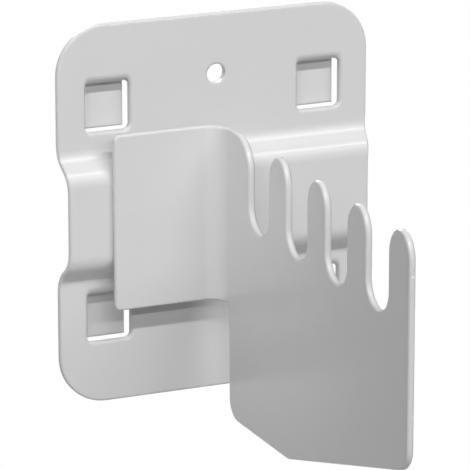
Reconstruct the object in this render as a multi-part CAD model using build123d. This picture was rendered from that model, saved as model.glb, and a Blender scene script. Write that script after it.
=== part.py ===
"""Saw holder for a tool panel with square holes: a hooked back plate and a folded bracket with saw slots.

Millimetres. X runs to the right along the panel, Y into the panel, Z up.
The origin is the centre of the back plate on the face that lies on the panel.
"""

import math
import os

from build123d import *

# Sheet
PLATE_SHEET = 1.25
BRACKET_SHEET = 1.25
SHEET_EDGE_BREAK = 0.3

# Back plate outline
PLATE_WIDTH = 55.7
PLATE_HEIGHT = 64.6
PLATE_CORNER_RADIUS = 8.3

# Raised band across the back plate, pressed towards the user
BAND_LIFT = 3.0
BAND_TOP_STEP_Z = 8.7
BAND_BOTTOM_STEP_Z = -8.85
BAND_STEP_ANGLE = 48.0
BAND_BEND_RADIUS = 2.8
BAND_DRAW_IN = 0.87
BAND_DRAW_IN_LENGTH = 8.4

# Hooks, four of them at the corners of a rectangle
HOOK_PITCH_X = 38.0
HOOK_PITCH_Z = 36.0
WINDOW_WIDTH = 7.9
WINDOW_BELOW_ROW = 3.9
WINDOW_ABOVE_ROW = 4.45
WINDOW_CORNER_RADIUS = 1.0
WINDOW_EDGE_BREAK = 0.22
HOOK_PANEL_GAP = 1.3
HOOK_SIDE_CLEARANCE = 0.4
HOOK_BOTTOM_CLEARANCE = 0.27
HOOK_SLOPE_ANGLE = 80.0
HOOK_BEND_RADIUS = 0.4
HOOK_ROOT_OVERLAP = 0.2
ROLL_OVER_ANGLE = 60.0
ROLL_OVER_STEPS = 4
ROLL_OVER_DEEPER = 0.02

# Round hole for a locking screw
SCREW_HOLE_DIAMETER = 3.3
SCREW_HOLE_X = 0.3
SCREW_HOLE_Z = 22.1

# Folded bracket: flat arm welded on the band
ARM_WIDTH = 20.0
ARM_LEFT_X = -19.55
ARM_TOP_Z = 14.5
ARM_BOTTOM_Z = -15.5
ARM_CORNER_RADIUS = 1.0
FOLD_INNER_RADIUS = 3.2

# Folded bracket: flange with the saw slots
FLANGE_REACH = 76.85
FLANGE_BOTTOM_Z = -35.2
FLANGE_REAR_SETBACK = 0.4
FLANGE_REAR_CORNER_RADIUS = 3.6
FLANGE_LEVEL_LENGTH = 23.5
FLANGE_RISE_ANGLE = 15.6
FLANGE_KNEE_RADIUS = 5.0
FLANGE_FRONT_CORNER_RADIUS = 4.0
ROOT_CORNER_RADIUS = 5.5

SLOT_COUNT = 4
SLOT_WIDTH = 8.0
SLOT_BOTTOM_Z = -0.3
FIRST_SLOT_REACH = 21.1
FRONT_TOOTH_WIDTH = 7.2
TOOTH_TIP_HEIGHT = 4.4


def strip_outline(points, thickness, inner_radius):
    """Cross-section of a sheet bent along a centre line with sharp corners given as points."""
    count = len(points)
    directions = [(Vector(*points[i + 1]) - Vector(*points[i])).normalized() for i in range(count - 1)]
    sides = []
    for side in (1, -1):
        line = []
        radii = []
        for i, point in enumerate(points):
            before = directions[max(i - 1, 0)]
            after = directions[min(i, count - 2)]
            mitre = (before + after).normalized()
            normal = Vector(-mitre.Y, mitre.X)
            reach = side * thickness / 2 / mitre.dot(after)
            line.append(Vector(*point) + normal * reach)
            if 0 < i < count - 1:
                turn = before.X * after.Y - before.Y * after.X
                inside = turn * side > 0
                radii.append(inner_radius if inside else inner_radius + thickness)
        sides.append(FilletPolyline(*line, radius=radii))
    start = Line(sides[0] @ 0, sides[1] @ 0)
    end = Line(sides[0] @ 1, sides[1] @ 1)
    return make_face([*sides[0].edges(), *sides[1].edges(), start, end])


def on_panel_side(profile, x_from, x_to):
    """Stands a cross-section drawn in Y and Z up and runs it from one X to another."""
    return extrude(Plane.YZ.offset(x_from) * profile, x_to - x_from)


def band_profile():
    middle = -PLATE_SHEET / 2
    half_step = BAND_LIFT / 2 / math.tan(math.radians(BAND_STEP_ANGLE))
    return strip_outline(
        [
            (middle, PLATE_HEIGHT / 2),
            (middle, BAND_TOP_STEP_Z + half_step),
            (middle - BAND_LIFT, BAND_TOP_STEP_Z - half_step),
            (middle - BAND_LIFT, BAND_BOTTOM_STEP_Z + half_step),
            (middle, BAND_BOTTOM_STEP_Z - half_step),
            (middle, -PLATE_HEIGHT / 2),
        ],
        PLATE_SHEET,
        BAND_BEND_RADIUS,
    )


def plate_side(side):
    """Side edge of the plate from the top corner down, drawn in where the band was pressed."""
    full = side * PLATE_WIDTH / 2
    drawn = side * (PLATE_WIDTH / 2 - BAND_DRAW_IN)
    half = BAND_DRAW_IN_LENGTH / 2
    top_from = BAND_TOP_STEP_Z + half
    top_to = BAND_TOP_STEP_Z - half
    bottom_from = BAND_BOTTOM_STEP_Z + half
    bottom_to = BAND_BOTTOM_STEP_Z - half
    down = (0, -1)
    straight_end = PLATE_HEIGHT / 2 - PLATE_CORNER_RADIUS
    return [
        Line((full, straight_end), (full, top_from)),
        Spline((full, top_from), (drawn, top_to), tangents=[down, down]),
        Line((drawn, top_to), (drawn, bottom_from)),
        Spline((drawn, bottom_from), (full, bottom_to), tangents=[down, down]),
        Line((full, bottom_to), (full, -straight_end)),
    ]


def plate_outline():
    half_width = PLATE_WIDTH / 2
    half_height = PLATE_HEIGHT / 2
    radius = PLATE_CORNER_RADIUS
    edges = plate_side(-1) + plate_side(1)
    for level in (1, -1):
        z = level * half_height
        edges.append(Line((-half_width + radius, z), (half_width - radius, z)))
        for side in (1, -1):
            centre = (side * (half_width - radius), level * (half_height - radius))
            start = {(1, 1): 0, (-1, 1): 90, (-1, -1): 180, (1, -1): 270}[(side, level)]
            edges.append(CenterArc(centre, radius, start, 90))
    return make_face(edges)


def from_front(outline, y_from, y_to):
    """Runs an outline drawn in X and Z from one Y to another, larger, Y."""
    return extrude(Plane.XZ.offset(-y_to) * outline, y_to - y_from)


def hook_places():
    for x in (-HOOK_PITCH_X / 2, HOOK_PITCH_X / 2):
        for z in (HOOK_PITCH_Z / 2, -HOOK_PITCH_Z / 2):
            yield x, z


def window_outline(x, row_z, sides_out, top_out):
    """Window in the plate, with its sides and bottom moved out by one amount and its top by another."""
    top = row_z + WINDOW_ABOVE_ROW + top_out
    bottom = row_z - WINDOW_BELOW_ROW - sides_out
    width = WINDOW_WIDTH + 2 * sides_out
    return Pos(x, (top + bottom) / 2) * RectangleRounded(width, top - bottom, WINDOW_CORNER_RADIUS + sides_out)


def roll_over_rise():
    """Height of the rolled edge above a window, where the sheet starts to bend back into the hook."""
    return (HOOK_BEND_RADIUS + PLATE_SHEET) * math.sin(math.radians(ROLL_OVER_ANGLE))


def window_cutter(x, row_z):
    """Straight cut through the sheet, opening towards the front along broken sides and a rolled top edge."""
    radius = HOOK_BEND_RADIUS + PLATE_SHEET
    front = -PLATE_SHEET
    outlines = []
    for step in range(ROLL_OVER_STEPS + 1):
        angle = math.radians(ROLL_OVER_ANGLE * step / ROLL_OVER_STEPS)
        depth = radius * (1 - math.cos(angle)) + ROLL_OVER_DEEPER
        sides_out = max(WINDOW_EDGE_BREAK - depth, 0)
        top_out = roll_over_rise() - radius * math.sin(angle)
        outlines.append(Plane.XZ.offset(-front - depth) * window_outline(x, row_z, sides_out, top_out))
    cutter = from_front(window_outline(x, row_z, 0, 0), front, PLATE_SHEET)
    corners_z = row_z + WINDOW_ABOVE_ROW - WINDOW_CORNER_RADIUS / 2
    behind_corners = Pos(x, corners_z) * Rectangle(WINDOW_WIDTH, WINDOW_CORNER_RADIUS)
    roll_depth = radius * (1 - math.cos(math.radians(ROLL_OVER_ANGLE))) + ROLL_OVER_DEEPER
    cutter += from_front(behind_corners, front + roll_depth, PLATE_SHEET)
    mouth = window_outline(x, row_z, WINDOW_EDGE_BREAK - ROLL_OVER_DEEPER, roll_over_rise())
    cutter += from_front(mouth, front - PLATE_SHEET, front + ROLL_OVER_DEEPER)
    for nearer, deeper in zip(outlines, outlines[1:]):
        cutter += loft([nearer, deeper], ruled=True)
    return cutter


def hook(x, row_z):
    """Tab lanced from the plate: bends back at the window's top edge, then hangs behind the panel."""
    middle = -PLATE_SHEET / 2
    offset = PLATE_SHEET + HOOK_PANEL_GAP
    slope = math.radians(HOOK_SLOPE_ANGLE)
    tangent = (HOOK_BEND_RADIUS + PLATE_SHEET / 2) * math.tan(slope / 2)
    bend_start_z = row_z + WINDOW_ABOVE_ROW + roll_over_rise()
    upper_z = bend_start_z - tangent
    lower_z = upper_z - offset / math.tan(slope)
    bottom_z = row_z - WINDOW_BELOW_ROW + HOOK_BOTTOM_CLEARANCE
    profile = strip_outline(
        [
            (middle, bend_start_z + HOOK_ROOT_OVERLAP),
            (middle, upper_z),
            (middle + offset, lower_z),
            (middle + offset, bottom_z),
        ],
        PLATE_SHEET,
        HOOK_BEND_RADIUS,
    )
    half = WINDOW_WIDTH / 2 - HOOK_SIDE_CLEARANCE
    return on_panel_side(profile, x - half, x + half)


def build_back_plate():
    depth = PLATE_SHEET + BAND_LIFT
    plate = on_panel_side(band_profile(), -PLATE_WIDTH / 2, PLATE_WIDTH / 2)
    plate &= from_front(plate_outline(), -2 * depth, depth)
    plate = chamfer(sharp_edges(plate), SHEET_EDGE_BREAK)
    plate -= from_front(Pos(SCREW_HOLE_X, SCREW_HOLE_Z) * Circle(SCREW_HOLE_DIAMETER / 2), -depth, depth)
    for x, z in hook_places():
        plate -= window_cutter(x, z)
        plate += hook(x, z)
    return plate


def sharp_edges(solid):
    """Edges between faces that meet at about a right angle: the cut edges of the sheet."""
    picked = []
    for edge in solid.edges():
        faces = [face for face in solid.faces() if any(edge.is_same(other) for other in face.edges())]
        if len(faces) != 2:
            continue
        point = edge @ 0.5
        normals = [face.normal_at(point) for face in faces]
        if abs(normals[0].dot(normals[1])) < 0.5:
            picked.append(edge)
    return picked


def flange_outline():
    """Flange drawn in Y and Z, from the end of the fold to the front edge."""
    fold_end = -(PLATE_SHEET + BAND_LIFT + BRACKET_SHEET + FOLD_INNER_RADIUS)
    rear = fold_end - FLANGE_REAR_SETBACK
    front = -FLANGE_REACH
    knee = rear - FLANGE_LEVEL_LENGTH
    rise = math.tan(math.radians(FLANGE_RISE_ANGLE)) * (knee - front)
    tip_start = ARM_TOP_Z - TOOTH_TIP_HEIGHT

    lower = FilletPolyline(
        (rear, ARM_BOTTOM_Z),
        (rear, FLANGE_BOTTOM_Z),
        (knee, FLANGE_BOTTOM_Z),
        (front, FLANGE_BOTTOM_Z + rise),
        (front, tip_start),
        radius=[FLANGE_REAR_CORNER_RADIUS, FLANGE_KNEE_RADIUS, FLANGE_FRONT_CORNER_RADIUS],
    )
    upper = Polyline((front, tip_start), (fold_end, tip_start), (fold_end, ARM_BOTTOM_Z), (rear, ARM_BOTTOM_Z))
    outline = make_face([*lower.edges(), *upper.edges()])

    slot_radius = SLOT_WIDTH / 2
    last_slot_reach = FLANGE_REACH - FRONT_TOOTH_WIDTH - slot_radius
    pitch = (last_slot_reach - FIRST_SLOT_REACH) / (SLOT_COUNT - 1)
    slots = [-(FIRST_SLOT_REACH + i * pitch) for i in range(SLOT_COUNT)]
    for y in slots:
        height = tip_start - SLOT_BOTTOM_Z - slot_radius
        outline -= Pos(y, SLOT_BOTTOM_Z + slot_radius + height / 2) * Rectangle(SLOT_WIDTH, height)
        outline -= Pos(y, SLOT_BOTTOM_Z + slot_radius) * Circle(slot_radius)

    tooth_fronts = [y + slot_radius for y in slots[1:]] + [front]
    for slot_y, tooth_front in zip(slots, tooth_fronts):
        tooth_rear = slot_y - slot_radius
        centre = (tooth_rear + tooth_front) / 2
        outline += Pos(centre, tip_start) * Ellipse((tooth_rear - tooth_front) / 2, TOOTH_TIP_HEIGHT)

    root_front = slots[0] + slot_radius
    root = make_face(
        [
            Line((fold_end, tip_start), (fold_end, ARM_TOP_Z)),
            Line((fold_end, ARM_TOP_Z), (root_front + ROOT_CORNER_RADIUS, ARM_TOP_Z)),
            CenterArc((root_front + ROOT_CORNER_RADIUS, ARM_TOP_Z - ROOT_CORNER_RADIUS), ROOT_CORNER_RADIUS, 90, 90),
            Line((root_front, ARM_TOP_Z - ROOT_CORNER_RADIUS), (root_front, tip_start - ROOT_CORNER_RADIUS)),
            Line((root_front, tip_start - ROOT_CORNER_RADIUS), (fold_end, tip_start - ROOT_CORNER_RADIUS)),
            Line((fold_end, tip_start - ROOT_CORNER_RADIUS), (fold_end, tip_start)),
        ]
    )
    square_root_corner = Pos((fold_end + root_front) / 2, tip_start) * Rectangle(
        fold_end - root_front, 2 * ROOT_CORNER_RADIUS
    )
    return outline - square_root_corner + root


def build_saw_bracket():
    arm_front = -(PLATE_SHEET + BAND_LIFT + BRACKET_SHEET)
    arm_middle = arm_front + BRACKET_SHEET / 2
    flange_right = ARM_LEFT_X + ARM_WIDTH
    flange_middle = flange_right - BRACKET_SHEET / 2
    fold_end = arm_front - FOLD_INNER_RADIUS

    fold = strip_outline(
        [(ARM_LEFT_X, arm_middle), (flange_middle, arm_middle), (flange_middle, fold_end - FLANGE_REAR_SETBACK)],
        BRACKET_SHEET,
        FOLD_INNER_RADIUS,
    )
    arm = extrude(Plane.XY.offset(ARM_BOTTOM_Z) * fold, ARM_TOP_Z - ARM_BOTTOM_Z)
    corners = arm.edges().filter_by(Axis.Y).group_by(Axis.X)[0]
    arm = fillet(corners, ARM_CORNER_RADIUS)
    flange = extrude(Plane.YZ.offset(flange_right - BRACKET_SHEET) * flange_outline(), BRACKET_SHEET)
    bracket = arm + flange
    return chamfer(sharp_edges(bracket), SHEET_EDGE_BREAK)


os.makedirs("parts", exist_ok=True)
export_step(build_back_plate(), "parts/back_plate.step")
export_step(build_saw_bracket(), "parts/saw_bracket.step")
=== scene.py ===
"""Looks for the saw holder: light grey powder coat on folded and pressed sheet steel.

Metres. X runs to the right along the panel, Y into the panel, Z up.
"""

import math

import bpy
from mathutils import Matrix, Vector


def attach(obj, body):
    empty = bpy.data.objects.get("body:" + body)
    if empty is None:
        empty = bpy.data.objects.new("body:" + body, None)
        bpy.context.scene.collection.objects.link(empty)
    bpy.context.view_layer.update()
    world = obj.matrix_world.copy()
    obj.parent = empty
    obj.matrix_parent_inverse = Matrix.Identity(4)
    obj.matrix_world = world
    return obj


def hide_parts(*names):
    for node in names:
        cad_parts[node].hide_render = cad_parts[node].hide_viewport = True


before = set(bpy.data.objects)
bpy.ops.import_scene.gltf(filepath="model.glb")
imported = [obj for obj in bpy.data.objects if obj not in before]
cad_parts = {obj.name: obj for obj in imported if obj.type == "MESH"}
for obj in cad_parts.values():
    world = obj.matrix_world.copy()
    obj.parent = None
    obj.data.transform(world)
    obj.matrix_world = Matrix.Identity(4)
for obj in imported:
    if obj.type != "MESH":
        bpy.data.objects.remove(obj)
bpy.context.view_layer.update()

# Photograph's camera
VIEW_AZIMUTH = math.radians(23.56)
VIEW_ELEVATION = math.radians(16.29)
VIEW_DISTANCE = 0.681
VIEW_CENTRE = Vector((0.003726, -0.00125, -0.00615))
SENSOR_WIDTH = 36.0
FOCAL_PIXELS = 4061.0
PHOTO_WIDTH_PIXELS = 470.0

# Powder coat
COAT_GREY = 0.66
COAT_ROUGHNESS = 0.24
COAT_IOR = 1.42
PEEL_SIZE = 0.0011
PEEL_HEIGHT = 0.00004
PEEL_STRENGTH = 0.25
MOTTLE_SIZE = 0.009
MOTTLE_IN_GREY = 0.035
MOTTLE_IN_ROUGHNESS = 0.06
SPECK_SIZE = 0.0002
SPECK_IN_GREY = 0.03
SPECK_IN_ROUGHNESS = 0.05
SPECK_IN_HEIGHT = 0.12
NOISE_MIDDLE = 0.5

# The one raised bead of paint on the flange's front edge; its pale grey is a painted highlight
PAINT_DROP_PLACE = (0.0, -0.07685, 0.0079)
PAINT_DROP_STRETCH = (1.0, 1.0, 2.0)
PAINT_DROP_RADIUS = 0.0005
PAINT_DROP_CORE = 0.5
PAINT_DROP_HIGHLIGHT_GREY = 0.85
PAINT_DROP_IN_HEIGHT = 2.0

# Soft look of the broken edges under the paint
EDGE_ROUND = 0.0006
EDGE_SAMPLES = 6
MERGE_DISTANCE = 0.000002
FLAT_ANGLE = math.radians(0.3)
SMOOTH_ANGLE = math.radians(62)

# Floor and surround
FLOOR_Z = -0.5
FLOOR_WIDTH = 0.8
FLOOR_GREY = 0.82
FLOOR_ROUGHNESS = 0.85
SURROUND_LEVEL = 0.135
WHITE = (1.0, 1.0, 1.0, 1.0)

# Lamps, each at the same distance from the point that they are aimed at
LAMP_AIM = Vector((0.0, -0.022, 0.01))
LAMP_DISTANCE = 1.0
STRIP_HEIGHT = 0.035
# Name, left end, right end, elevation in degrees, watts
STRIP_LAMPS = (
    ("key_high", -0.82, 0.25, 50.2, 7.0),
    ("key_low", -0.82, 0.25, 31.0, 3.02),
    ("fill_high", 0.25, 0.70, 50.2, 2.4),
    ("fill_low", 0.25, 0.70, 31.0, 1.05),
)
# Name, azimuth and elevation in degrees, width, watts, beam angle in degrees
ROUND_LAMPS = (
    ("side", -88.0, 14.0, 0.03, 0.0028, 5.8),
    ("back", 180.0, 28.0, 0.30, 6.8, 180.0),
)


class Value:
    """A shader socket that plain arithmetic can be done on."""

    def __init__(self, nodes, socket):
        self.nodes = nodes
        self.socket = socket

    def math(self, operation, first, second):
        return self.nodes.add("ShaderNodeMath", {"operation": operation}, {0: first, 1: second})

    def __add__(self, other):
        return self.math("ADD", self, other)

    __radd__ = __add__

    def __sub__(self, other):
        return self.math("SUBTRACT", self, other)

    def __rsub__(self, other):
        return self.math("SUBTRACT", other, self)

    def __mul__(self, other):
        return self.math("MULTIPLY", self, other)

    __rmul__ = __mul__


class Nodes:
    """The nodes of one material or world."""

    def __init__(self, tree):
        self.tree = tree
        tree.nodes.clear()

    def add(self, kind, settings=None, inputs=None, output=0):
        node = self.tree.nodes.new(kind)
        for name, setting in (settings or {}).items():
            setattr(node, name, setting)
        for name, value in (inputs or {}).items():
            if isinstance(value, Value):
                self.tree.links.new(value.socket, node.inputs[name])
            else:
                node.inputs[name].default_value = value
        return Value(self, node.outputs[output]) if len(node.outputs) else None

    def noise(self, place, size, detail, roughness):
        inputs = {"Vector": place, "Scale": 1.0 / size, "Detail": detail, "Roughness": roughness}
        return self.add("ShaderNodeTexNoise", {}, inputs, "Fac")

    def vector_math(self, operation, inputs, output="Vector"):
        return self.add("ShaderNodeVectorMath", {"operation": operation}, inputs, output)

    def mix_colour(self, factor, first, second):
        # The mix node's colour sockets are its seventh and eighth, and its third output
        return self.add("ShaderNodeMix", {"data_type": "RGBA"}, {0: factor, 6: first, 7: second}, 2)

    def seen_directly(self):
        """1 on rays from the camera and in what the coat mirrors, 0 on rays of soft light."""
        seen = self.add("ShaderNodeLightPath", output="Is Camera Ray")
        for ray in ("Is Glossy Ray", "Is Transmission Ray"):
            mirrored = self.add("ShaderNodeLightPath", output=ray)
            seen = self.add("ShaderNodeMath", {"operation": "MAXIMUM"}, {0: seen, 1: mirrored})
        return seen


def new_material(name):
    material = bpy.data.materials.new(name)
    material.use_nodes = True
    return material, Nodes(material.node_tree)


def bead_and_highlight_mask(nodes, place, speck_swing):
    """1 inside the bead of paint, falling off to 0 at its slightly ragged rim; it raises the bead
    as a real bump and lightens it as a painted highlight.
    """
    from_drop = nodes.vector_math("SUBTRACT", {0: place, 1: PAINT_DROP_PLACE})
    flat_drop = nodes.vector_math("MULTIPLY", {0: from_drop, 1: PAINT_DROP_STRETCH})
    distance = nodes.vector_math("LENGTH", {0: flat_drop}, "Value")
    inputs = {
        "Value": distance + speck_swing * PAINT_DROP_RADIUS,
        "From Min": PAINT_DROP_RADIUS,
        "From Max": PAINT_DROP_RADIUS * PAINT_DROP_CORE,
    }
    return nodes.add("ShaderNodeMapRange", {"interpolation_type": "SMOOTHSTEP"}, inputs, "Result")


def powder_coat():
    """Semi-gloss light grey with faint orange peel, mottling and specks, and one raised bead of
    paint lightened as a painted highlight.
    """
    material, nodes = new_material("light_grey_powder_coat")
    place = nodes.add("ShaderNodeTexCoord", output="Object")
    peel = nodes.noise(place, PEEL_SIZE, 2.0, 0.45)
    mottle = nodes.noise(place, MOTTLE_SIZE, 3.0, 0.6)
    speck = nodes.noise(place, SPECK_SIZE, 1.0, 0.5)
    mottle_swing = mottle - NOISE_MIDDLE
    speck_swing = speck - NOISE_MIDDLE
    # The bead's mask raises it as a real bump and lightens its colour as a painted highlight.
    drop_and_highlight = bead_and_highlight_mask(nodes, place, speck_swing)

    grey = (1.0 + mottle_swing * MOTTLE_IN_GREY + speck_swing * SPECK_IN_GREY) * COAT_GREY
    inputs = {"Red": grey, "Green": grey, "Blue": grey}
    paint = nodes.add("ShaderNodeCombineColor", {}, inputs, "Color")
    # Painted highlight: the bead is coloured paler than the coat to stand in for the glint on its
    # rounded top.
    drop_highlight_colour = (PAINT_DROP_HIGHLIGHT_GREY, PAINT_DROP_HIGHLIGHT_GREY, PAINT_DROP_HIGHLIGHT_GREY, 1.0)
    colour = nodes.mix_colour(drop_and_highlight, paint, drop_highlight_colour)
    roughness = (
        COAT_ROUGHNESS + mottle_swing * MOTTLE_IN_ROUGHNESS + speck_swing * SPECK_IN_ROUGHNESS
    )

    rounded = nodes.add(
        "ShaderNodeBevel", {"samples": EDGE_SAMPLES}, {"Radius": EDGE_ROUND}, "Normal"
    )
    inputs = {
        "Strength": PEEL_STRENGTH,
        "Distance": PEEL_HEIGHT,
        "Height": peel + speck * SPECK_IN_HEIGHT + drop_and_highlight * PAINT_DROP_IN_HEIGHT,
        "Normal": rounded,
    }
    normal = nodes.add("ShaderNodeBump", {}, inputs, "Normal")

    inputs = {"Base Color": colour, "Roughness": roughness, "IOR": COAT_IOR, "Normal": normal}
    surface = nodes.add("ShaderNodeBsdfPrincipled", {}, inputs, "BSDF")
    nodes.add("ShaderNodeOutputMaterial", {}, {"Surface": surface})
    return material


def floor_paint():
    """Pale paint that throws light back up, and as white as the surround where it is seen."""
    material, nodes = new_material("floor_pale")
    colour = (FLOOR_GREY, FLOOR_GREY, FLOOR_GREY, 1.0)
    inputs = {"Base Color": colour, "Roughness": FLOOR_ROUGHNESS}
    paint = nodes.add("ShaderNodeBsdfPrincipled", {}, inputs, "BSDF")
    white = nodes.add("ShaderNodeEmission", {}, {"Color": WHITE, "Strength": 1.0})
    mixed = nodes.add("ShaderNodeMixShader", {}, {0: nodes.seen_directly(), 1: paint, 2: white})
    nodes.add("ShaderNodeOutputMaterial", {}, {"Surface": mixed})
    return material


def white_surround():
    """White where the camera or a reflection sees it, and a soft even light everywhere else."""
    world = bpy.data.worlds.new("surround")
    bpy.context.scene.world = world
    world.use_nodes = True
    nodes = Nodes(world.node_tree)
    soft = nodes.add("ShaderNodeBackground", {}, {"Color": WHITE, "Strength": SURROUND_LEVEL})
    white = nodes.add("ShaderNodeBackground", {}, {"Color": WHITE, "Strength": 1.0})
    mixed = nodes.add("ShaderNodeMixShader", {}, {0: nodes.seen_directly(), 1: soft, 2: white})
    nodes.add("ShaderNodeOutputWorld", {}, {"Surface": mixed})


def place_lamp(light, place, direction):
    """Puts a lamp at its place, facing back along the direction that it stands in."""
    lamp = bpy.data.objects.new(light.name, light)
    bpy.context.scene.collection.objects.link(lamp)
    lamp.location = place
    lamp.rotation_euler = direction.to_track_quat("Z", "Y").to_euler()


def strip_lamp(name, left, right, elevation, power):
    """A long thin lamp in front of the object, level and parallel to the panel."""
    light = bpy.data.lights.new(name, "AREA")
    light.shape = "RECTANGLE"
    light.size = right - left
    light.size_y = STRIP_HEIGHT
    light.energy = power
    rise = math.radians(elevation)
    direction = Vector((0.0, -math.cos(rise), math.sin(rise)))
    middle = Vector(((left + right) / 2, 0.0, 0.0))
    place_lamp(light, LAMP_AIM + direction * LAMP_DISTANCE + middle, direction)


def round_lamp(name, azimuth, elevation, width, power, beam_angle):
    """A round lamp, turned by its azimuth from straight in front of the panel."""
    light = bpy.data.lights.new(name, "AREA")
    light.shape = "DISK"
    light.size = width
    light.energy = power
    light.spread = math.radians(beam_angle)
    turn = math.radians(azimuth)
    rise = math.radians(elevation)
    flat = math.cos(rise)
    direction = Vector((math.sin(turn) * flat, -math.cos(turn) * flat, math.sin(rise)))
    place_lamp(light, LAMP_AIM + direction * LAMP_DISTANCE, direction)


def photo_camera():
    flat = math.cos(VIEW_ELEVATION)
    forward = Vector(
        (math.sin(VIEW_AZIMUTH) * flat, math.cos(VIEW_AZIMUTH) * flat, -math.sin(VIEW_ELEVATION))
    )
    data = bpy.data.cameras.new("photo_camera")
    data.sensor_width = SENSOR_WIDTH
    data.lens = SENSOR_WIDTH * FOCAL_PIXELS / PHOTO_WIDTH_PIXELS
    camera = bpy.data.objects.new("photo_camera", data)
    bpy.context.scene.collection.objects.link(camera)
    camera.location = VIEW_CENTRE - forward * VIEW_DISTANCE
    camera.rotation_euler = forward.to_track_quat("-Z", "Y").to_euler()
    bpy.context.scene.camera = camera


def painted_sheet(node_name, coat):
    """A merged copy of a CAD node, shown for it, whose narrow broken edges shade as soft rounds."""
    piece = bpy.data.objects.new(node_name + "_painted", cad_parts[node_name].data.copy())
    bpy.context.scene.collection.objects.link(piece)
    piece.data.materials.clear()
    piece.data.materials.append(coat)
    bpy.ops.object.select_all(action="DESELECT")
    piece.select_set(True)
    bpy.context.view_layer.objects.active = piece
    bpy.ops.mesh.customdata_custom_splitnormals_clear()
    bpy.ops.object.mode_set(mode="EDIT")
    bpy.ops.mesh.select_all(action="SELECT")
    bpy.ops.mesh.remove_doubles(threshold=MERGE_DISTANCE)
    bpy.ops.mesh.dissolve_limited(angle_limit=FLAT_ANGLE)
    bpy.ops.object.mode_set(mode="OBJECT")
    bpy.ops.object.shade_smooth_by_angle(angle=SMOOTH_ANGLE)
    even = piece.modifiers.new("even_faces", "WEIGHTED_NORMAL")
    even.keep_sharp = True
    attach(piece, "root")
    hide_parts(node_name)


def stage_floor():
    bpy.ops.object.select_all(action="DESELECT")
    bpy.ops.mesh.primitive_plane_add(size=FLOOR_WIDTH, location=(0.0, 0.0, FLOOR_Z))
    floor = bpy.context.object
    floor.name = "floor"
    floor.data.materials.append(floor_paint())


photo_camera()
white_surround()
for lamp_row in STRIP_LAMPS:
    strip_lamp(*lamp_row)
for lamp_row in ROUND_LAMPS:
    round_lamp(*lamp_row)

coat = powder_coat()
for node_name in ("back_plate", "saw_bracket"):
    painted_sheet(node_name, coat)
stage_floor()

bpy.context.scene.view_settings.view_transform = "Standard"
